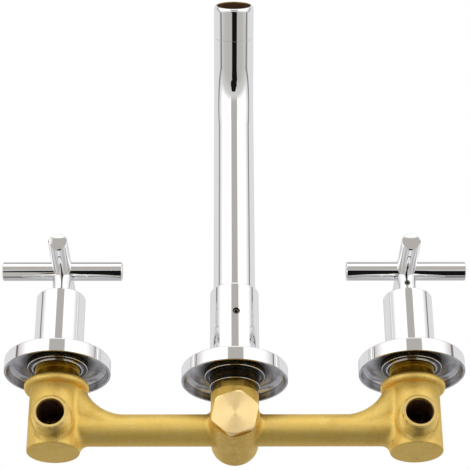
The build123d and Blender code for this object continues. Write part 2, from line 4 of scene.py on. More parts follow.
import bmesh
import bpy
from bpy.props import FloatProperty, FloatVectorProperty, IntProperty, PointerProperty
from mathutils import Euler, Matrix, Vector

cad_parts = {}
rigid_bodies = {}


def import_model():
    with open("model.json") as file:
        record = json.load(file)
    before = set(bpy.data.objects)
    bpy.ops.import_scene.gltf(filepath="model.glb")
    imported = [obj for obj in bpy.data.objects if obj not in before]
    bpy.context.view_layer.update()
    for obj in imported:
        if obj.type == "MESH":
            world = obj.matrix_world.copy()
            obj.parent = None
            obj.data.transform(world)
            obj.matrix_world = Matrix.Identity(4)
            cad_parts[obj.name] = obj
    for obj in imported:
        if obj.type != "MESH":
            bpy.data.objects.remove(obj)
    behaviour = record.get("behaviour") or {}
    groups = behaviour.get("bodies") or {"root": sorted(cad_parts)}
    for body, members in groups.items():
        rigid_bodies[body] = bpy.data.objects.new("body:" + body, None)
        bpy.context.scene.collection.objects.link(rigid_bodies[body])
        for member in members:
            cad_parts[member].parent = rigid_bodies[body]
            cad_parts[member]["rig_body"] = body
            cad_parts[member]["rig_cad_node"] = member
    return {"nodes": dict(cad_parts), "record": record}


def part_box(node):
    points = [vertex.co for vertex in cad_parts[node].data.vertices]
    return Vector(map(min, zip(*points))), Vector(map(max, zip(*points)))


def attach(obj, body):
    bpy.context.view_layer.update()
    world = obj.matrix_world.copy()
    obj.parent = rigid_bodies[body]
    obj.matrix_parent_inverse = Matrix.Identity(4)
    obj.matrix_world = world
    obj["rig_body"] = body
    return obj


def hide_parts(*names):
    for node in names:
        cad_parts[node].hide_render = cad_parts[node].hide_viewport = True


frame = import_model()

bl_info = {
    "name": "Wall-mounted faucet",
    "version": (1, 0, 0),
    "blender": (4, 5, 0),
    "location": "3D View > Sidebar > Faucet",
    "description": "Chrome, cast brass, threads and a plain studio for the packed faucet",
    "category": "Object",
}

MM = 0.001
SIDES = {"hot": -1, "cold": 1}


# Sizes, finishes and studio


class FaucetSizes(bpy.types.PropertyGroup):
    round_steps: IntProperty(
        name="Steps round", description="Faces round each turned piece", default=128, min=32, max=256
    )
    edge: FloatProperty(
        name="Polished edge", description="Width of the small rounds on chrome edges",
        default=0.15 * MM, unit="LENGTH", precision=5,
    )
    inlet_pitch: FloatProperty(
        name="Inlet pitch", description="Rise of the inlets' pipe thread in one turn",
        default=1.814 * MM, unit="LENGTH", precision=5,
    )
    neck_pitch: FloatProperty(
        name="Neck pitch", description="Rise of the valve necks' thread in one turn",
        default=1.5 * MM, unit="LENGTH", precision=5,
    )


class FaucetFinishes(bpy.types.PropertyGroup):
    chrome: FloatVectorProperty(
        name="Chrome", description="Colour of the polished plating", subtype="COLOR",
        default=(0.93, 0.93, 0.935), min=0, max=1,
    )
    bare_chrome: FloatVectorProperty(
        name="Unpolished chrome", description="Colour of the plating inside the wall flanges", subtype="COLOR",
        default=(0.70, 0.70, 0.73), min=0, max=1,
    )
    brass: FloatVectorProperty(
        name="Brass", description="Colour of the cast brass", subtype="COLOR",
        default=(1.0, 0.72, 0.20), min=0, max=1,
    )
    # Dark brass serves both for clouds of tarnish and for the painted shade on the barrel.
    dark_brass: FloatVectorProperty(
        name="Dark brass", description="Colour of the cast brass where it has tarnished", subtype="COLOR",
        default=(0.74, 0.47, 0.08), min=0, max=1,
    )
    turned_brass: FloatVectorProperty(
        name="Turned brass", description="Colour of the machined brass", subtype="COLOR",
        default=(1.0, 0.76, 0.37), min=0, max=1,
    )


class FaucetStudio(bpy.types.PropertyGroup):
    camera_place: FloatVectorProperty(
        name="Camera place", description="Where the camera stands", subtype="XYZ_LENGTH",
        default=(-0.00527, 0.41253, -0.86498),
    )
    camera_turn: FloatVectorProperty(
        name="Camera turn", description="How the camera is turned", subtype="EULER",
        default=(math.radians(-149.8158), math.radians(0.2655), math.radians(0.1998)),
    )
    camera_lens: FloatProperty(
        name="Lens", description="Focal length of the camera in millimetres", default=129.72
    )
    lamp_power: FloatProperty(
        name="Lamp power", description="Power of each of the two large soft lamps", default=11.5, subtype="POWER"
    )
    floor_height: FloatProperty(
        name="Floor height", description="Height of the floor below the wall plate", default=-1.4, unit="LENGTH"
    )


# Mesh helpers


def let_go():
    """Leaves edit mode with nothing selected."""
    if bpy.context.mode != "OBJECT":
        bpy.ops.object.mode_set(mode="OBJECT")
    bpy.ops.object.select_all(action="DESELECT")


def pick(piece):
    """Makes a piece the only selected one and the active one."""
    let_go()
    piece.select_set(True)
    bpy.context.view_layer.objects.active = piece


def edit(piece):
    pick(piece)
    bpy.ops.object.mode_set(mode="EDIT")


def named(name):
    """Names the piece that was added last."""
    piece = bpy.context.active_object
    piece.name = name
    piece.data.name = name
    return piece


def step_out(rise, factor, height):
    """Extrudes what is selected along Z and scales it about the Z axis."""
    bpy.ops.mesh.extrude_region_move(TRANSFORM_OT_translate={"value": (0, 0, rise)})
    if abs(factor - 1) > 1e-9:
        bpy.ops.transform.resize(value=(factor, factor, 1), center_override=(0, 0, height))


def lathe(name, rings, hollow):
    """A piece turned round Z through (height, radius) pairs. A hollow one ends where it began."""
    steps = bpy.context.scene.faucet_sizes.round_steps
    height, radius = rings[0]
    let_go()
    bpy.ops.mesh.primitive_circle_add(
        vertices=steps, radius=radius, fill_type="NOTHING" if hollow else "NGON", location=(0, 0, height)
    )
    piece = named(name)
    bpy.ops.object.transform_apply(location=True, rotation=True, scale=True)
    bpy.ops.object.mode_set(mode="EDIT")
    bpy.ops.mesh.select_all(action="SELECT")
    path = rings[1:] + rings[:1] if hollow else rings[1:]
    for next_height, next_radius in path:
        step_out(next_height - height, next_radius / radius, next_height)
        height, radius = next_height, next_radius
    bpy.ops.mesh.select_all(action="SELECT")
    bpy.ops.mesh.remove_doubles(threshold=1e-6)
    bpy.ops.mesh.normals_make_consistent(inside=False)
    bpy.ops.object.mode_set(mode="OBJECT")
    return piece


def pick_ring(piece, height, radius):
    """Selects, in edit mode, the edges of one ring of a turned piece."""
    bpy.ops.mesh.select_mode(type="EDGE")
    bpy.ops.mesh.select_all(action="DESELECT")
    mesh = bmesh.from_edit_mesh(piece.data)
    for line in mesh.edges:
        line.select_set(all(
            abs(end.co.z - height) < 5e-6 and abs(math.hypot(end.co.x, end.co.y) - radius) < 5e-6
            for end in line.verts
        ))
    bmesh.update_edit_mesh(piece.data)


def round_ring(piece, height, radius, width, steps=4):
    """Rounds one ring of a turned piece."""
    edit(piece)
    pick_ring(piece, height, radius)
    bpy.ops.mesh.bevel(offset=width, offset_type="OFFSET", segments=steps, profile=0.5, affect="EDGES")
    bpy.ops.object.mode_set(mode="OBJECT")


def apply(piece, kind, **settings):
    """Adds a modifier and applies it."""
    pick(piece)
    made = piece.modifiers.new(kind.title(), kind)
    for key, value in settings.items():
        setattr(made, key, value)
    bpy.ops.object.modifier_apply(modifier=made.name)


def soften(piece, width, steps=2):
    """Rounds every sharp edge of a piece a little."""
    apply(
        piece, "BEVEL", width=width, segments=steps, limit_method="ANGLE", angle_limit=math.radians(40),
        miter_outer="MITER_ARC",
    )


def polish(piece):
    """Smooth shading that keeps the flats flat and the edges crisp."""
    pick(piece)
    bpy.ops.object.shade_smooth_by_angle(angle=math.radians(35))
    apply(piece, "WEIGHTED_NORMAL", mode="FACE_AREA", weight=50, keep_sharp=True)


def put(piece, turn=(0, 0, 0), place=(0, 0, 0)):
    """Turns and moves a piece and leaves its place in its mesh."""
    pick(piece)
    piece.rotation_euler = Euler(turn)
    piece.location = place
    bpy.ops.object.transform_apply(location=True, rotation=True, scale=True)


def another(piece, name):
    """A copy of a piece with its own mesh."""
    let_go()
    piece.select_set(True)
    bpy.context.view_layer.objects.active = piece
    bpy.ops.object.duplicate(linked=False)
    return named(name)


def join(kept, *others):
    """Joins pieces into the first one."""
    pick(kept)
    for other in others:
        other.select_set(True)
    bpy.ops.object.join()
    return kept


def unite(kept, other, operation="UNION"):
    """Adds one solid to another, or cuts it away, and removes the second."""
    apply(kept, "BOOLEAN", operation=operation, object=other, solver="EXACT")
    bpy.data.objects.remove(other)
    return kept


def finish_with(piece, *materials):
    piece.data.materials.clear()
    for material in materials:
        piece.data.materials.append(material)


def mark(piece, index, test):
    """Gives another of its materials to the faces whose middle passes a test."""
    for face in piece.data.polygons:
        if test(face.center):
            face.material_index = index


def stand_for(piece, body, slot, *nodes):
    """Puts a finished piece in the place of its CAD nodes."""
    let_go()
    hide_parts(*nodes)
    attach(piece, body)


# Turned pieces stand on the wall: their Z axis becomes the way out of the wall
OUT_OF_WALL = (math.radians(90), 0, 0)


# Materials


class Wire:
    """An output of a node, on which sums, differences and products add Math nodes."""

    def __init__(self, finish, socket):
        self.finish = finish
        self.socket = socket

    def __add__(self, other):
        return self.finish.maths("ADD", self, other)

    __radd__ = __add__

    def __sub__(self, other):
        return self.finish.maths("SUBTRACT", self, other)

    def __rsub__(self, other):
        return self.finish.maths("SUBTRACT", other, self)

    def __mul__(self, other):
        return self.finish.maths("MULTIPLY", self, other)

    __rmul__ = __mul__


class Tree:
    """A node tree, with one method for any node and short ones for those used most."""

    def __init__(self, tree, coordinates):
        self.tree = tree
        self.tree.nodes.clear()
        self.place = self.node("ShaderNodeTexCoord", output=coordinates)

    def node(self, kind, settings=None, sockets=None, output=0):
        """Adds a node, sets it up, fills its sockets and gives one of its outputs."""
        made = self.tree.nodes.new(kind)
        for key, value in (settings or {}).items():
            if key == "stops":
                ramp = made.color_ramp.elements
                for index, (where, colour) in enumerate(value):
                    stop = ramp[index] if index < 2 else ramp.new(where)
                    stop.position = where
                    stop.color = colour
            else:
                setattr(made, key, value)
        for key, value in (sockets or {}).items():
            if isinstance(value, Wire):
                self.tree.links.new(value.socket, made.inputs[key])
            else:
                made.inputs[key].default_value = value
        return Wire(self, made.outputs[output]) if made.outputs else None

    def maths(self, operation, first, second=0.0):
        return self.node("ShaderNodeMath", {"operation": operation}, {0: first, 1: second})

    def mix(self, share, first, second):
        """A colour between two others."""
        first = first if isinstance(first, Wire) else (*first, 1)
        second = second if isinstance(second, Wire) else (*second, 1)
        return self.node("ShaderNodeMix", {"data_type": "RGBA"}, {0: share, 6: first, 7: second}, output=2)

    def noise(self, size, detail=2.0, where=None, roughness=0.5):
        """Soft noise whose lumps are about this size in metres."""
        sockets = {"Vector": where or self.place, "Scale": 1 / size, "Detail": detail, "Roughness": roughness}
        return self.node("ShaderNodeTexNoise", {}, sockets, "Fac")

    def between(self, value, low, high, first=0.0, last=1.0):
        """Goes smoothly from first to last while value goes from low to high."""
        sockets = {"Value": value, "From Min": low, "From Max": high, "To Min": first, "To Max": last}
        return self.node("ShaderNodeMapRange", {"interpolation_type": "SMOOTHSTEP"}, sockets, "Result")

    def stretched(self, x, y, z):
        """Object coordinates scaled along each axis."""
        return self.node("ShaderNodeMapping", {}, {"Vector": self.place, "Scale": (x, y, z)})

    def bump(self, height, depth, strength=1.0, before=None):
        """A normal raised by a height from 0 to 1 that stands for this depth in metres."""
        sockets = {"Height": height, "Distance": depth, "Strength": strength}
        if before:
            sockets["Normal"] = before
        return self.node("ShaderNodeBump", {}, sockets)


class Finish(Tree):
    """A material made of nodes."""

    def __init__(self, name):
        self.material = bpy.data.materials.new(name)
        self.material.use_nodes = True
        super().__init__(self.material.node_tree, "Object")

    def surface(self, **sockets):
        """Ends the material in one Principled shader."""
        names = {key.replace("_", " ").title(): value for key, value in sockets.items()}
        shader = self.node("ShaderNodeBsdfPrincipled", {}, names)
        self.node("ShaderNodeOutputMaterial", {}, {"Surface": shader})
        return self.material


def polished_chrome():
    """Bright plating with faint wiping marks over metal that is not quite even."""
    colours = bpy.context.scene.faucet_finishes
    finish = Finish("polished_chrome")
    wiped = finish.noise(9 * MM, 4, finish.stretched(1, 0.35, 1))
    dust = finish.noise(0.7 * MM, 1)
    roughness = 0.022 + finish.between(wiped, 0.45, 0.75) * 0.03 + finish.between(dust, 0.62, 0.8) * 0.03
    tint = finish.mix(finish.between(wiped, 0.5, 0.8) * 0.4, colours.chrome, (0.86, 0.86, 0.87))
    normal = finish.bump(finish.noise(16 * MM, 1), 0.05 * MM, 0.5)
    return finish.surface(base_color=tint, metallic=1.0, roughness=roughness, normal=normal)


def bare_chrome():
    """Plating over unpolished metal, inside the wall flanges, with painted shade that darkens it towards the boss."""
    colours = bpy.context.scene.faucet_finishes
    finish = Finish("unpolished_chrome_painted_shade")
    grain = finish.noise(0.9 * MM, 3)
    cloud = finish.noise(14 * MM, 3)
    x = finish.node("ShaderNodeSeparateXYZ", {}, {"Vector": finish.place}, "X")
    z = finish.node("ShaderNodeSeparateXYZ", {}, {"Vector": finish.place}, "Z")
    aside = finish.maths("PINGPONG", x, 0.05)
    out = finish.maths("SQRT", aside * aside + z * z)
    turn = finish.maths("ARCTAN2", z, aside)
    rays = finish.node("ShaderNodeCombineXYZ", {}, {"X": turn * 5, "Y": out * 60, "Z": x * 30})
    streak = finish.between(finish.noise(1, 2, rays), 0.4, 0.65)
    bright = finish.mix(streak * 0.5, colours.bare_chrome, (0.40, 0.385, 0.38))
    # Painted shade: near black 17.5 mm from the flange's axis, reaching the plating's own colour at 24 mm.
    shade = finish.mix(finish.between(out, 17.5 * MM, 24 * MM), (0.09, 0.085, 0.083), bright)
    tint = finish.mix(finish.between(grain, 0.55, 0.8) * 0.2, shade, (0.60, 0.585, 0.58))
    normal = finish.bump(grain, 0.02 * MM, 0.4)
    return finish.surface(base_color=tint, metallic=1.0, roughness=0.17 + cloud * 0.1, normal=normal)


def cast_brass():
    """Sand-cast brass, blasted, with a few dark pores, clouds of tarnish and painted shade on the barrel."""
    colours = bpy.context.scene.faucet_finishes
    finish = Finish("sand_cast_brass")
    cloud = finish.noise(16 * MM, 3)
    patch = finish.noise(3.5 * MM, 3)
    grain = finish.noise(0.9 * MM, 3)
    cell = finish.node(
        "ShaderNodeTexVoronoi", {"feature": "F1"}, {"Vector": finish.place, "Scale": 1 / (9 * MM)}, "Distance"
    )
    pore = finish.between(cell, 0.035, 0.06, 1.0, 0.0)
    x = finish.node("ShaderNodeSeparateXYZ", {}, {"Vector": finish.place}, "X")
    # Painted shade: the barrel, within 11 mm of the middle plane, takes half of the dark brass, fading out by 19 mm.
    barrel_painted_shade = finish.between(finish.maths("ABSOLUTE", x), 11 * MM, 19 * MM, 0.5, 0.0)
    share = finish.maths("MAXIMUM", finish.between(cloud, 0.52, 0.75) * 0.35, barrel_painted_shade)
    worn_and_shaded = finish.mix(share, colours.brass, colours.dark_brass)
    rubbed = finish.mix(finish.between(patch, 0.45, 0.7) * 0.5, worn_and_shaded, (1.0, 0.78, 0.29))
    grained = finish.mix(finish.between(grain, 0.52, 0.74) * 0.32, rubbed, (0.66, 0.42, 0.08))
    tint = finish.mix(pore * 0.6, grained, (0.30, 0.14, 0.04))
    lumps = finish.bump(patch, 0.12 * MM, 0.5)
    normal = finish.bump(grain - pore * 0.6, 0.10 * MM, 0.8, lumps)
    return finish.surface(base_color=tint, metallic=1.0, roughness=0.46 + grain * 0.16, normal=normal)


def thread_brass(name, bright, dull):
    """Brass where a thread was cut, with an oily tarnish."""
    finish = Finish(name)
    cloud = finish.noise(5 * MM, 2)
    grain = finish.noise(0.5 * MM, 2)
    tint = finish.mix(finish.between(cloud, 0.35, 0.65), bright, dull)
    normal = finish.bump(grain, 0.02 * MM, 0.4)
    return finish.surface(base_color=tint, metallic=1.0, roughness=0.34 + grain * 0.12, normal=normal)


def turned_brass():
    """Machined brass."""
    colours = bpy.context.scene.faucet_finishes
    finish = Finish("turned_brass")
    cloud = finish.noise(6 * MM, 3)
    grain = finish.noise(0.4 * MM, 2)
    tint = finish.mix(finish.between(cloud, 0.4, 0.7) * 0.5, colours.turned_brass, (0.95, 0.69, 0.30))
    normal = finish.bump(grain, 0.01 * MM, 0.5)
    return finish.surface(base_color=tint, metallic=1.0, roughness=0.24 + cloud * 0.1, normal=normal)


def plain_finish(name, colour, other, metallic, roughness, size=1.5 * MM, depth=0.02 * MM):
    """A small part's material with mottled colour and a fine grain."""
    finish = Finish(name)
    cloud = finish.noise(4 * size, 3)
    grain = finish.noise(size * 0.4, 2)
    tint = finish.mix(finish.between(cloud, 0.35, 0.7), colour, other)
    normal = finish.bump(grain, depth, 0.5)
    return finish.surface(base_color=tint, metallic=metallic, roughness=roughness + grain * 0.1, normal=normal)


# Operators


class FAUCET_OT_sleeves(bpy.types.Operator):
    """Turns the two chrome sleeves"""

    bl_idname = "faucet.sleeves"
    bl_label = "Sleeves"

    def execute(self, context):
        edge = context.scene.faucet_sizes.edge
        low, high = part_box("hot_sleeve")
        back, front, radius = -high.y, -low.y, (high.x - low.x) / 2
        hole = 6.0 * MM
        bore = 12.4 * MM
        thread = 12.75 * MM
        face = front - 2.5 * MM
        neck = 9.0 * MM
        rings = [
            (back, thread), (back, radius), (front, radius), (front, hole),
            (face, hole), (face, bore), (neck, bore), (neck, thread),
        ]
        master = lathe("hot_sleeve_chrome", rings, hollow=True)
        round_ring(master, front, radius, 0.8 * MM)
        round_ring(master, back, radius, 0.3 * MM, 2)
        round_ring(master, back, thread, 0.3 * MM, 2)
        soften(master, edge)
        finish_with(master, bpy.data.materials["polished_chrome"], bpy.data.materials["dull_chrome_painted_shade"])
        # Painted shade: the sleeve's bore, thread and rear end get the nearly black dull chrome.
        mark(master, 1, lambda at: math.hypot(at.x, at.y) < radius - 0.32 * MM and at.z < face)
        put(master, OUT_OF_WALL)
        polish(master)
        for side, hand in SIDES.items():
            sleeve = master if side == "hot" else another(master, "cold_sleeve_chrome")
            put(sleeve, place=(hand * 0.1 * (1 if side == "hot" else 2), 0, 0))
            stand_for(sleeve, "faucet_body", "chrome", f"{side}_sleeve")
        return {"FINISHED"}


class FAUCET_OT_flanges(bpy.types.Operator):
    """Turns the three hollow wall flanges"""

    bl_idname = "faucet.flanges"
    bl_label = "Wall flanges"

    def execute(self, context):
        edge = context.scene.faucet_sizes.edge
        low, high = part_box("hot_wall_flange")
        radius, height = (high.x - low.x) / 2, high.y - low.y
        wall = 1.3 * MM
        inside = height - wall
        bore = 14.1 * MM
        boss = 17.0 * MM
        boss_back = 2.8 * MM
        groove = 15.61 * MM
        groove_low, groove_high = 4.65 * MM, 6.35 * MM
        rings = [
            (0, radius - wall), (0, radius), (height, radius), (height, bore),
            (groove_high, bore), (groove_high, groove), (groove_low, groove), (groove_low, bore),
            (boss_back, bore), (boss_back, boss), (inside, boss), (inside, radius - wall),
        ]
        master = lathe("spout_wall_flange_chrome", rings, hollow=True)
        round_ring(master, height, radius, 1.0 * MM)
        round_ring(master, boss_back, boss, 0.4 * MM, 3)
        round_ring(master, boss_back, bore, 0.4 * MM, 3)
        round_ring(master, inside, radius - wall, 3.6 * MM, 8)
        round_ring(master, inside, boss, 0.7 * MM, 3)
        soften(master, edge)
        self.finish(master, radius - wall, bore)
        put(master, OUT_OF_WALL)
        polish(master)
        for node, x in (("hot", -0.1), ("cold", 0.1), ("spout", 0.0)):
            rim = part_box(f"{node}_wall_flange")[1].y
            flange = master if node == "spout" else another(master, f"{node}_wall_flange_chrome")
            put(flange, place=(x, rim, 0))
            stand_for(flange, f"{node}_flange", "chrome", f"{node}_wall_flange")
        return {"FINISHED"}

    def finish(self, master, cavity, bore):
        """Polished plating outside, unpolished inside the hollow, with painted shade: a radial darkening in the hollow
        and nearly black plating on the boss and in the bore.
        """
        materials = [bpy.data.materials[name] for name in ("polished_chrome", "unpolished_chrome_painted_shade", "dull_chrome_painted_shade")]
        finish_with(master, *materials)

        def out(at):
            return math.hypot(at.x, at.y)

        mark(master, 1, lambda at: bore + 0.42 * MM < out(at) < cavity + 0.02 * MM and at.z < 7.6 * MM)
        mark(master, 0, lambda at: bore + 2.4 * MM < out(at) < bore + 2.91 * MM and at.z < 3.25 * MM)
        mark(master, 1, lambda at: out(at) > cavity - 0.2 * MM and at.z < 0.1 * MM)
        # Painted shade: the boss's face and the bore's wall get the nearly black dull chrome.
        mark(master, 2, lambda at: bore + 0.5 * MM < out(at) < bore + 2.4 * MM and at.z < 2.85 * MM)
        mark(master, 2, lambda at: out(at) < bore + 2 * MM and 3.3 * MM < at.z < 7.6 * MM)


class FAUCET_OT_collar(bpy.types.Operator):
    """Turns the spout's collar and drills the hole of its grub screw"""

    bl_idname = "faucet.collar"
    bl_label = "Spout collar"

    def execute(self, context):
        low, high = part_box("spout_collar")
        back, front, radius = -high.y, -low.y, (high.x - low.x) / 2
        bore = 9.55 * MM
        socket = 12.05 * MM
        step = front - 12.5 * MM
        screw = 32.9 * MM
        band = 3.2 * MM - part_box("spout_wall_flange")[1].y
        rings = [
            (back, bore), (back, radius), (band, radius), (screw - 4 * MM, radius), (screw + 4 * MM, radius),
            (front, radius), (front, socket), (step, socket), (step, bore),
        ]
        collar = lathe("spout_collar_chrome", rings, hollow=True)
        round_ring(collar, front, radius, 1.2 * MM)
        round_ring(collar, back, radius, 0.25 * MM, 2)
        soften(collar, context.scene.faucet_sizes.edge)
        hole = lathe("collar_screw_hole", [(0, 2.05 * MM), (2 * radius, 2.05 * MM)], hollow=False)
        put(hole, (math.radians(90), 0, math.radians(4)), (0, 0, screw))
        unite(collar, hole, "DIFFERENCE")
        put(collar, OUT_OF_WALL)
        polish(collar)
        finish_with(collar, bpy.data.materials["polished_chrome"], bpy.data.materials["dull_chrome_painted_shade"])
        # Painted shade: the collar's bore and its back band inside the flange's hollow get the nearly black dull
        # chrome.
        mark(collar, 1, lambda at: math.hypot(at.x, at.z) < radius - 0.27 * MM and at.y > -front + 0.3 * MM)
        mark(collar, 1, lambda at: -band < at.y < -back - 0.28 * MM)
        stand_for(collar, "faucet_body", "chrome", "spout_collar")
        return {"FINISHED"}


class FAUCET_OT_spout(bpy.types.Operator):
    """Bends the spout's tube and turns its tip"""

    bl_idname = "faucet.spout"
    bl_label = "Spout"

    def execute(self, context):
        self.tube(context)
        self.tip(context)
        return {"FINISHED"}

    def tube(self, context):
        low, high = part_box("spout_tube")
        radius = (high.x - low.x) / 2
        start = -high.y
        straight = 163.0 * MM
        bend = 50.0 * MM
        angle = math.radians(50)
        run = 17.2 * MM
        let_go()
        bpy.ops.mesh.primitive_circle_add(
            vertices=context.scene.faucet_sizes.round_steps, radius=radius, fill_type="NOTHING",
            location=(0, -start, 0), rotation=OUT_OF_WALL,
        )
        tube = named("spout_tube_chrome")
        bpy.ops.object.transform_apply(location=True, rotation=True, scale=True)
        bpy.ops.object.mode_set(mode="EDIT")
        bpy.ops.mesh.select_all(action="SELECT")
        bpy.ops.mesh.extrude_region_move(TRANSFORM_OT_translate={"value": (0, start - straight, 0)})
        bpy.ops.mesh.spin(steps=40, angle=-angle, center=(0, -straight, -bend), axis=(1, 0, 0))
        down = Vector((0, -math.cos(angle), -math.sin(angle))) * run
        bpy.ops.mesh.extrude_region_move(TRANSFORM_OT_translate={"value": down})
        bpy.ops.mesh.select_all(action="SELECT")
        bpy.ops.mesh.remove_doubles(threshold=1e-6)
        bpy.ops.mesh.normals_make_consistent(inside=False)
        bpy.ops.object.mode_set(mode="OBJECT")
        apply(tube, "SOLIDIFY", thickness=1.2 * MM, offset=-1, use_even_offset=True)
        soften(tube, context.scene.faucet_sizes.edge)
        polish(tube)
        finish_with(tube, bpy.data.materials["polished_chrome"])
        stand_for(tube, "faucet_body", "chrome", "spout_tube")

    def tip(self, context):
        radius = 12.0 * MM
        opening = 10.3 * MM
        lip = 2.5 * MM
        pocket = 9.9 * MM
        bore = 9.0 * MM
        hold = 10.75 * MM
        length = 19.8 * MM
        rings = [(0, opening)]
        for step in range(1, 9):
            turn = math.radians(90 * step / 8)
            rings.append((-lip + lip * math.cos(turn), opening + (radius - opening) * math.sin(turn)))
        rings += [
            (-length, radius), (-length, hold), (-length - 5 * MM, hold), (-length - 5 * MM, bore),
            (-11.2 * MM, bore), (-11.2 * MM, pocket), (-5.2 * MM, pocket), (-5.2 * MM, opening),
            (-0.9 * MM, opening),
        ]
        tip = lathe("spout_tip_chrome", rings, hollow=True)
        soften(tip, context.scene.faucet_sizes.edge)
        materials = [bpy.data.materials[name] for name in ("polished_chrome", "waterway_oxide_and_shade", "neck_thread_brass_painted_shade")]
        finish_with(tip, *materials)
        # Painted shade: the mouth's inner edge gets the darkened neck brass, and deeper than 0.9 mm the near-black
        # waterway finish.
        mark(tip, 2, lambda at: math.hypot(at.x, at.y) < opening + 0.03 * MM)
        mark(tip, 1, lambda at: math.hypot(at.x, at.y) < opening + 0.03 * MM and at.z < -0.9 * MM)
        angle = math.radians(50)
        front = 163.0 * MM + 50 * MM * math.sin(angle) + 37 * MM * math.cos(angle)
        drop = 50 * MM * (1 - math.cos(angle)) + 37 * MM * math.sin(angle)
        put(tip, (math.radians(140), 0, 0), (0, -front, -drop))
        polish(tip)
        stand_for(tip, "faucet_body", "chrome", "spout_tip")


class FAUCET_OT_handles(bpy.types.Operator):
    """Turns the arms and necks of the cross handles"""

    bl_idname = "faucet.handles"
    bl_label = "Cross handles"

    def execute(self, context):
        for side, hand in SIDES.items():
            handle = self.cross(context, f"{side}_cross_handle_chrome", hand)
            put(handle, OUT_OF_WALL, (hand * 0.1, 0, 0))
            polish(handle)
            finish_with(handle, bpy.data.materials["polished_chrome"])
            stand_for(handle, f"{side}_handle", "chrome", f"{side}_cross_handle")
        return {"FINISHED"}

    def cross(self, context, name, hand):
        """Two arms and a neck in one, with the screw's hole towards -Y for the right-hand handle."""
        radius = 5.5 * MM
        reach = 35.0 * MM
        centre = 66.0 * MM
        back = 38.0 * MM
        front = 72.1 * MM
        near = radius + 1.5 * MM
        crown = [(0, 0.5 * MM), (0.09 * MM, 0.55 * radius), (0.25 * MM, 0.9 * radius), (0.75 * MM, radius)]
        end = [(reach - drop, out) for drop, out in reversed(crown)]
        start = [(drop - reach, out) for drop, out in crown]
        arm = lathe(name, start + [(-near, radius), (near, radius)] + end, hollow=False)
        other = another(arm, "other_arm")
        put(arm, (0, math.radians(90), 0), (0, 0, centre))
        put(other, (math.radians(90), 0, 0), (0, 0, centre))
        neck = lathe("neck", [(back, radius), (centre - near, radius), (front, radius)], hollow=False)
        round_ring(neck, front, radius, 0.8 * MM)
        unite(arm, other)
        unite(arm, neck)
        socket = lathe("socket", [(back - 1 * MM, 4.05 * MM), (52.9 * MM, 4.05 * MM), (52.9 * MM, 2.9 * MM),
                                  (58.3 * MM, 2.9 * MM)], hollow=False)
        unite(arm, socket, "DIFFERENCE")
        hole = lathe("screw_hole", [(0, 1.7 * MM), (2 * radius, 1.7 * MM)], hollow=False)
        put(hole, (math.radians(90 * hand), 0, 0), (0, 0, 55.5 * MM))
        unite(arm, hole, "DIFFERENCE")
        return arm


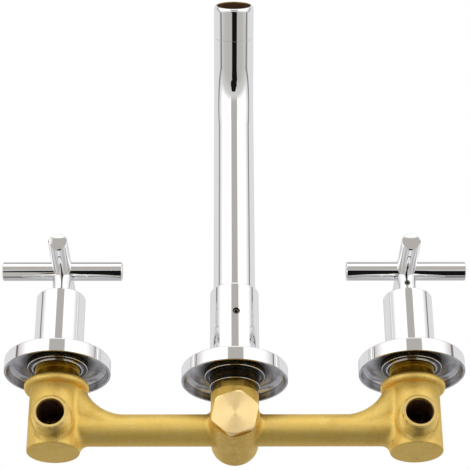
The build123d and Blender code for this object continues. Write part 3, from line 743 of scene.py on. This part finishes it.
class FAUCET_OT_casting(bpy.types.Operator):
    """Dresses the casting and cuts its threads"""

    bl_idname = "faucet.casting"
    bl_label = "Casting and threads"

    def execute(self, context):
        node = frame["nodes"]["manifold_body"]
        node.hide_set(False)
        casting = another(node, "manifold_casting")
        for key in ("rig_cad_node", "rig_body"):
            if key in casting:
                del casting[key]
        casting.parent = None
        edit(casting)
        bpy.ops.mesh.select_mode(type="VERT")
        bpy.ops.mesh.select_all(action="SELECT")
        bpy.ops.mesh.remove_doubles(threshold=2e-6)
        for hand in SIDES.values():
            self.turn_down_inlet(casting, hand)
            self.turn_down_neck(casting, hand)
        bpy.ops.object.mode_set(mode="OBJECT")
        fillets = [self.crease_fillet(casting, hand) for hand in SIDES.values()]
        join(casting, *fillets)
        pick(casting)
        bpy.ops.object.shade_smooth_by_angle(angle=math.radians(32))
        finishes = [bpy.data.materials[name] for name in (
            "sand_cast_brass", "inlet_thread_brass", "neck_thread_brass_painted_shade", "inlet_rim_brass", "waterway_oxide_and_shade",
        )]
        finish_with(casting, *finishes)
        for face in casting.data.polygons:
            face.material_index = 0
        for hand in SIDES.values():
            self.mark_inlet(casting, hand)
            # Painted shade: the necks, inside the flanges' hollow, take the darkened neck brass.
            mark(casting, 2, lambda at: math.hypot(at.x - hand * 0.1, at.z) < 12.9 * MM and at.y < 6.4 * MM)
        threads = []
        for hand in SIDES.values():
            inlet = self.thread("inlet_thread", 9.6 * MM, 10.46 * MM, context.scene.faucet_sizes.inlet_pitch, 9.2 * MM)
            put(inlet, place=(hand * 0.1, 34.6 * MM, -24.2 * MM))
            neck = self.thread("neck_thread", 11.95 * MM, 12.68 * MM, context.scene.faucet_sizes.neck_pitch, 9.0 * MM)
            put(neck, OUT_OF_WALL, (hand * 0.1, 1.0 * MM, 0))
            finish_with(inlet, *finishes)
            finish_with(neck, *finishes)
            mark(inlet, 1, lambda at: True)
            mark(neck, 2, lambda at: True)
            threads += [inlet, neck]
        for thread in threads:
            pick(thread)
            bpy.ops.object.shade_smooth_by_angle(angle=math.radians(32))
        join(casting, *threads)
        casting.name = "manifold_casting"
        stand_for(casting, "faucet_body", "cast_brass", "manifold_body")
        return {"FINISHED"}

    def crease_fillet(self, casting, hand):
        """The soft fillet of the casting between valve body and elbow, on a block sunk just under the skin."""
        let_go()
        bpy.ops.mesh.primitive_cube_add(size=1, location=(hand * 82.5 * MM, 31.3 * MM, 0), scale=(0.023, 0.0394, 0.032))
        box = named("elbow_box")
        bpy.ops.object.transform_apply(location=True, rotation=True, scale=True)
        fillet = another(casting, "elbow_fillet")
        unite(fillet, box, "INTERSECT")
        apply(fillet, "REMESH", mode="VOXEL", voxel_size=0.5 * MM)
        middle = fillet.vertex_groups.new(name="middle")
        for point in fillet.data.vertices:
            at = point.co
            edge = min(abs(at.x) - 71 * MM, 94 * MM - abs(at.x), at.y - 11.6 * MM, 51 * MM - at.y)
            inside = math.hypot(at.y - 34.6 * MM, at.z) < 7.6 * MM or math.hypot(abs(at.x) - 0.1, at.z) < 12.8 * MM
            middle.add([point.index], 0 if inside else min(max(edge / (4 * MM), 0), 1), "REPLACE")
        apply(fillet, "SMOOTH", factor=0.5, iterations=55, vertex_group="middle")
        apply(fillet, "DISPLACE", strength=-0.06 * MM, mid_level=0)
        return fillet

    def mark_inlet(self, casting, hand):
        """The inlet's thread, its machined rim and its bore, tarnished and painted near black as its shade."""

        def out(at):
            return math.hypot(at.x - hand * 0.1, at.y - 34.6 * MM)

        mark(casting, 1, lambda at: at.z < -14.85 * MM and 9.3 * MM < out(at) < 10.6 * MM)
        mark(casting, 3, lambda at: at.z < -25.2 * MM and 7.6 * MM < out(at) < 10.5 * MM)
        # Painted shade: the bore gets the near-black waterway finish.
        mark(casting, 4, lambda at: at.z < 12 * MM and out(at) < 7.6 * MM)

    def pick_round(self, casting, axis_test):
        """Selects the vertices that pass a test of their place."""
        bpy.ops.mesh.select_all(action="DESELECT")
        mesh = bmesh.from_edit_mesh(casting.data)
        for point in mesh.verts:
            point.select_set(axis_test(point.co))
        bmesh.update_edit_mesh(casting.data)

    def turn_down_inlet(self, casting, hand):
        """Turns an inlet down to the floor of its thread."""
        x, y = hand * 0.1, 34.6 * MM

        def on_crest(at):
            out = math.hypot(at.x - x, at.y - y)
            return -24 * MM < at.z < -14.85 * MM and 10.3 * MM < out < 10.6 * MM

        self.pick_round(casting, on_crest)
        share = 9.7 / 10.48
        bpy.ops.transform.resize(value=(share, share, 1), center_override=(x, y, 0))
        self.pick_round(casting, lambda at: at.z < -24 * MM and 9.6 * MM < math.hypot(at.x - x, at.y - y) < 10.6 * MM)
        share = 9.75 / 10.48
        bpy.ops.transform.resize(value=(share, share, 1), center_override=(x, y, 0))
        self.pick_round(casting, lambda at: at.z < -25.9 * MM and 9.1 * MM < math.hypot(at.x - x, at.y - y) < 9.4 * MM)
        share = 7.75 / 9.25
        bpy.ops.transform.resize(value=(share, share, 1), center_override=(x, y, 0))

    def turn_down_neck(self, casting, hand):
        """Turns a neck down to the floor of its thread."""
        x = hand * 0.1

        def on_crest(at):
            out = math.hypot(at.x - x, at.z)
            return at.y < 6.5 * MM and 12.0 * MM < out < 12.8 * MM

        self.pick_round(casting, on_crest)
        share = 12.0 / 12.7
        bpy.ops.transform.resize(value=(share, 1, share), center_override=(x, 0, 0))

    def thread(self, name, floor, crest, pitch, length):
        """A helical ridge round Z, its section a flat-topped tooth."""
        let_go()
        bpy.ops.mesh.primitive_plane_add(size=1, location=(0, 0, 0), rotation=(math.radians(90), 0, 0))
        ridge = named(name)
        bpy.ops.object.transform_apply(location=True, rotation=True, scale=True)
        height = crest - floor
        ridge.scale = (height, 1, pitch * 0.86)
        ridge.location = (floor + height / 2, 0, 0)
        bpy.ops.object.transform_apply(location=True, rotation=True, scale=True)
        bpy.ops.object.mode_set(mode="EDIT")
        bpy.ops.mesh.select_mode(type="VERT")
        self.pick_round(ridge, lambda at: at.x > crest - 1e-6)
        bpy.ops.transform.resize(value=(1, 1, 0.2), center_override=(crest, 0, 0))
        bpy.ops.mesh.select_all(action="SELECT")
        bpy.ops.mesh.delete(type="ONLY_FACE")
        bpy.ops.object.mode_set(mode="OBJECT")
        turns = int(length / pitch)
        apply(ridge, "SCREW", angle=2 * math.pi, screw_offset=pitch, iterations=turns, steps=72, render_steps=72,
              axis="Z", use_merge_vertices=False)
        edit(ridge)
        bpy.ops.mesh.select_all(action="SELECT")
        bpy.ops.mesh.remove_doubles(threshold=1e-6)
        bpy.ops.mesh.select_all(action="DESELECT")
        bpy.ops.mesh.select_mode(type="EDGE")
        bpy.ops.mesh.select_non_manifold(extend=False)
        bpy.ops.mesh.fill_holes(sides=4)
        bpy.ops.mesh.select_all(action="SELECT")
        bpy.ops.mesh.fill_holes(sides=4)
        bpy.ops.mesh.normals_make_consistent(inside=False)
        bpy.ops.object.mode_set(mode="OBJECT")
        return ridge


class FAUCET_OT_fittings(bpy.types.Operator):
    """Gives every CAD part that shows its own finish"""

    bl_idname = "faucet.fittings"
    bl_label = "Finishes"

    def execute(self, context):
        polished_chrome()
        bare_chrome()
        cast_brass()
        thread_brass("inlet_thread_brass", (0.95, 0.68, 0.22), (0.80, 0.54, 0.13))
        # The necks' brass is darkened as painted shade from the flanges' hollow; the tip's mouth edge shares it.
        thread_brass("neck_thread_brass_painted_shade", (0.64, 0.46, 0.08), (0.42, 0.26, 0.04))
        thread_brass("inlet_rim_brass", (1.0, 0.76, 0.29), (0.96, 0.68, 0.22))
        thread_brass("nipple_brass", (0.84, 0.58, 0.14), (0.66, 0.42, 0.08))
        turned = turned_brass()
        # Dull brown oxide painted near black: painted shade deep in the inlets' bores and the tip's bore.
        plain_finish("waterway_oxide_and_shade", (0.050, 0.022, 0.012), (0.10, 0.045, 0.02), 0.0, 0.45)
        # Nearly black plating that paints the shade in hollows: the sleeves' bores and rear ends, the flanges' boss and
        # bore, the collar's bore and back band.
        plain_finish("dull_chrome_painted_shade", (0.085, 0.08, 0.078), (0.05, 0.045, 0.045), 1.0, 0.22)
        steel = plain_finish("blackened_steel", (0.26, 0.23, 0.18), (0.16, 0.14, 0.11), 1.0, 0.30)
        ceramic = plain_finish("alumina", (0.86, 0.84, 0.79), (0.80, 0.77, 0.71), 0.0, 0.16)
        rubber = plain_finish("rubber", (0.022, 0.022, 0.023), (0.04, 0.04, 0.04), 0.0, 0.55)
        fibre = plain_finish("red_fibre", (0.36, 0.07, 0.04), (0.24, 0.05, 0.03), 0.0, 0.75)
        white = plain_finish("slippery_plastic", (0.80, 0.80, 0.78), (0.72, 0.72, 0.70), 0.0, 0.35)
        dark = plain_finish("black_plastic", (0.014, 0.012, 0.010), (0.03, 0.025, 0.02), 0.0, 0.45)
        by_slot = {
            "machined_brass": turned, "steel": steel, "ceramic_disc": ceramic, "rubber_seal": rubber,
            "fibre_washer": fibre, "white_plastic": white, "dark_plastic": dark,
        }
        for part in frame["record"]["subparts"]:
            if part["material_slot"] in by_slot:
                finish_with(frame["nodes"][part["node"]], by_slot[part["material_slot"]])
        finish_with(frame["nodes"]["spout_nipple"], bpy.data.materials["nipple_brass"])
        return {"FINISHED"}


class FAUCET_OT_plug(bpy.types.Operator):
    """Turns the hexagonal plug, with the fine grooves that facing leaves on it"""

    bl_idname = "faucet.plug"
    bl_label = "Closing plug"

    def execute(self, context):
        low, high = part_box("centre_plug")
        face, tip = low.z, high.z
        seat = face + 2.8 * MM
        corner = 13.35 * MM
        drop = 0.3 * MM
        flat = 12.0 * MM
        rim = 12.1 * MM
        groove = 0.30 * MM
        depths = (0.0, 0.052, 0.014, 0.040)
        rings = [(seat, corner), (face + drop, corner), (face, rim)]
        for step in range(1, int(2 * rim / groove)):
            rings.append((face + depths[step % 4] * MM, rim - step * groove / 2))
        head = lathe("centre_plug_turned", rings, hollow=False)
        let_go()
        bpy.ops.mesh.primitive_cylinder_add(
            vertices=6, radius=flat / math.cos(math.radians(30)), depth=4 * drop + 8 * MM, location=(0, 0, face),
            rotation=(0, 0, math.radians(11)),
        )
        hexagon = named("plug_hexagon")
        unite(head, hexagon, "INTERSECT")
        shank = lathe("plug_shank", [(seat - 0.2 * MM, 9.9 * MM), (tip, 9.9 * MM)], hollow=False)
        unite(head, shank)
        put(head, place=(0, 34.6 * MM, 0))
        pick(head)
        bpy.ops.object.shade_smooth_by_angle(angle=math.radians(4))
        finish_with(head, bpy.data.materials["turned_brass"])
        stand_for(head, "faucet_body", "machined_brass", "centre_plug")
        return {"FINISHED"}


class FAUCET_OT_studio(bpy.types.Operator):
    """Sets the camera, the lamps, the floor and the cards that the chrome reflects"""

    bl_idname = "faucet.studio"
    bl_label = "Studio"

    def execute(self, context):
        self.camera(context)
        self.world(context)
        self.floor(context)
        self.lamps(context)
        self.cards(context)
        context.scene.view_settings.view_transform = "Standard"
        return {"FINISHED"}

    def camera(self, context):
        studio = context.scene.faucet_studio
        let_go()
        bpy.ops.object.camera_add(location=studio.camera_place, rotation=studio.camera_turn)
        camera = bpy.context.active_object
        camera.data.lens = studio.camera_lens
        camera.data.sensor_width = 36
        camera.data.clip_start = 0.05
        camera.data.clip_end = 20
        context.scene.camera = camera

    def world(self, context):
        """White for the eye, a white tent with grey seams for metal, softer as a light."""
        world = bpy.data.worlds.new("studio")
        world.use_nodes = True
        context.scene.world = world
        sky = Tree(world.node_tree, "Generated")
        eye = sky.node("ShaderNodeLightPath", output="Is Camera Ray")
        through = sky.node("ShaderNodeLightPath", output="Is Transmission Ray")
        mirrored = sky.node("ShaderNodeLightPath", output="Is Glossy Ray")
        plain = sky.node("ShaderNodeBackground", {}, {"Color": (1, 1, 1, 1), "Strength": 1.0})
        soft = sky.node("ShaderNodeBackground", {}, {"Color": (1, 1, 1, 1), "Strength": 0.35})
        tent = sky.node("ShaderNodeBackground", {}, {"Color": self.tent(sky), "Strength": 1.0})
        lit = sky.node("ShaderNodeMixShader", {}, {0: mirrored, 1: soft, 2: tent})
        seen = sky.node("ShaderNodeMixShader", {}, {0: sky.maths("MAXIMUM", eye, through), 1: lit, 2: plain})
        sky.node("ShaderNodeOutputWorld", {}, {"Surface": seen})

    def tent(self, sky):
        """What polished metal shows, by the direction in which it looks."""
        x = sky.node("ShaderNodeSeparateXYZ", {}, {"Vector": sky.place}, "X")
        y = sky.node("ShaderNodeSeparateXYZ", {}, {"Vector": sky.place}, "Y")
        z = sky.node("ShaderNodeSeparateXYZ", {}, {"Vector": sky.place}, "Z")
        turn = sky.maths("ARCTAN2", x, 0 - z)
        aside = sky.maths("ABSOLUTE", turn)
        degree = math.pi / 180
        boxes = sky.node("ShaderNodeValToRGB", {"stops": [
            (0.0, (1.2, 1.2, 1.2, 1)),
            (66 / 180, (1.14, 1.14, 1.14, 1)),
            (86 / 180, (0.72, 0.70, 0.69, 1)),
            (90 / 180, (0.62, 0.59, 0.57, 1)),
            (92 / 180, (0.20, 0.18, 0.17, 1)),
            (97 / 180, (0.20, 0.18, 0.17, 1)),
            (99 / 180, (0.76, 0.76, 0.77, 1)),
            (150 / 180, (0.76, 0.76, 0.77, 1)),
            (1.0, (0.54, 0.54, 0.55, 1)),
        ]}, {"Fac": aside * (1 / math.pi)}, "Color")
        end = sky.between(y, -0.60, -0.57)
        seam = sky.between(sky.maths("ABSOLUTE", turn - 2 * degree), 15 * degree, 19 * degree, 1.0, 0.0)
        front = sky.mix(seam * end, boxes, (0.47, 0.45, 0.42))
        pole = sky.between(y, -0.995, -0.93, 1.0, 0.0)
        front = sky.mix(pole, front, (0.40, 0.40, 0.40))
        low = sky.between(aside, 94 * degree, 100 * degree, 1.0, 0.0)
        walls = sky.mix(sky.between(y, 0.25, 0.72, 1.0, 0.0), (0.50, 0.49, 0.46), (0.66, 0.655, 0.64))
        behind = sky.mix(low, (0.47, 0.47, 0.48), walls)
        slant = sky.maths("ARCTAN2", 0 - z, y)
        stand = sky.between(sky.maths("ABSOLUTE", slant + 12 * degree), 6 * degree, 15 * degree, 1.0, 0.0)
        behind = sky.mix(stand * 0.85, behind, (0.12, 0.11, 0.10))
        return sky.mix(sky.between(y, 0.05, 0.33), front, behind)

    def floor(self, context):
        let_go()
        bpy.ops.mesh.primitive_plane_add(size=160, location=(0, 0, context.scene.faucet_studio.floor_height))
        floor = named("floor")
        finish = Finish("floor")
        matt = finish.node("ShaderNodeBsdfDiffuse", {}, {"Color": (0.9, 0.9, 0.9, 1)})
        glow = finish.node("ShaderNodeEmission", {}, {"Color": (1, 1, 1, 1), "Strength": 1.0})
        ray = finish.node("ShaderNodeLightPath", output="Is Camera Ray")
        shown = finish.node("ShaderNodeMixShader", {}, {0: ray * 0.55, 1: matt, 2: glow})
        finish.node("ShaderNodeOutputMaterial", {}, {"Surface": shown})
        finish_with(floor, finish.material)
        floor.visible_glossy = False

    def lamps(self, context):
        """Two large soft lamps beside the camera, which reflections do not see."""
        for name, hand in (("left_softbox", -1), ("right_softbox", 1)):
            let_go()
            angle = math.radians(56)
            way = Vector((hand * math.sin(angle) * 0.864, -0.503, -math.cos(angle) * 0.864))
            turn = (-way).to_track_quat("-Z", "Y").to_euler()
            bpy.ops.object.light_add(type="AREA", location=way * 1.3, rotation=turn)
            lamp = bpy.context.active_object
            lamp.name = name
            lamp.data.shape = "RECTANGLE"
            lamp.data.size = 1.6
            lamp.data.size_y = 1.6
            lamp.data.energy = context.scene.faucet_studio.lamp_power
            lamp.visible_camera = False
            lamp.visible_glossy = False

    def cards(self, context):
        """Black cards round the camera, and a brown one, that only reflections see."""
        black = self.card_finish("black_card", (0.008, 0.0079, 0.0077))
        brown = self.card_finish("brown_card", (0.14, 0.11, 0.065))
        self.card("camera_card", (10 * MM, -50 * MM), (650 * MM, 240 * MM), 90 * MM, black)
        self.card("camera_head_card", (-10 * MM, 60 * MM), (500 * MM, 280 * MM), 120 * MM, black)
        self.card("camera_foot_card", (100 * MM, -700 * MM), (590 * MM, 1200 * MM), 120 * MM, black)
        self.card("side_card", (-203 * MM, -560 * MM), (36 * MM, 560 * MM), 10 * MM, brown)

    def card(self, name, middle, size, corner, material):
        """A card in the camera's own plane: its middle right of the camera and towards the spout's side of it."""
        let_go()
        bpy.ops.mesh.primitive_plane_add(size=1)
        made = named(name)
        made.scale = (*size, 1)
        bpy.ops.object.transform_apply(location=False, rotation=False, scale=True)
        bpy.ops.object.mode_set(mode="EDIT")
        bpy.ops.mesh.select_all(action="SELECT")
        bpy.ops.mesh.bevel(offset=corner, segments=8, affect="VERTICES")
        bpy.ops.object.mode_set(mode="OBJECT")
        camera = bpy.context.scene.camera
        bpy.context.view_layer.update()
        place = camera.matrix_world @ Vector((middle[0], middle[1], 0))
        put(made, camera.rotation_euler, place)
        self.hide(made, material)

    def card_finish(self, name, colour):
        finish = Finish(name)
        glow = finish.node("ShaderNodeEmission", {}, {"Color": (*colour, 1), "Strength": 1.0})
        finish.node("ShaderNodeOutputMaterial", {}, {"Surface": glow})
        return finish.material

    def hide(self, card, material):
        """Only reflections see a card."""
        finish_with(card, material)
        card.visible_camera = False
        card.visible_diffuse = False
        card.visible_shadow = False
        card.visible_transmission = False


class FAUCET_PT_panel(bpy.types.Panel):
    """Lists the steps that dress the faucet"""

    bl_label = "Faucet"
    bl_idname = "FAUCET_PT_panel"
    bl_space_type = "VIEW_3D"
    bl_region_type = "UI"
    bl_category = "Faucet"

    def draw(self, context):
        for group in (context.scene.faucet_sizes, context.scene.faucet_finishes, context.scene.faucet_studio):
            box = self.layout.box()
            for name in group.__annotations__:
                box.prop(group, name)
        for step in STEPS:
            self.layout.operator(step.bl_idname)


STEPS = (
    FAUCET_OT_fittings,
    FAUCET_OT_sleeves,
    FAUCET_OT_flanges,
    FAUCET_OT_collar,
    FAUCET_OT_spout,
    FAUCET_OT_handles,
    FAUCET_OT_casting,
    FAUCET_OT_plug,
    FAUCET_OT_studio,
)
CLASSES = (FaucetSizes, FaucetFinishes, FaucetStudio, *STEPS, FAUCET_PT_panel)


def register():
    for kind in CLASSES:
        bpy.utils.register_class(kind)
    bpy.types.Scene.faucet_sizes = PointerProperty(type=FaucetSizes)
    bpy.types.Scene.faucet_finishes = PointerProperty(type=FaucetFinishes)
    bpy.types.Scene.faucet_studio = PointerProperty(type=FaucetStudio)


def unregister():
    for name in ("faucet_studio", "faucet_finishes", "faucet_sizes"):
        delattr(bpy.types.Scene, name)
    for kind in reversed(CLASSES):
        bpy.utils.unregister_class(kind)


def main():
    register()
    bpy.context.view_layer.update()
    for step in STEPS:
        group, name = step.bl_idname.split(".")
        getattr(getattr(bpy.ops, group), name)()


if __name__ == "__main__":
    main()
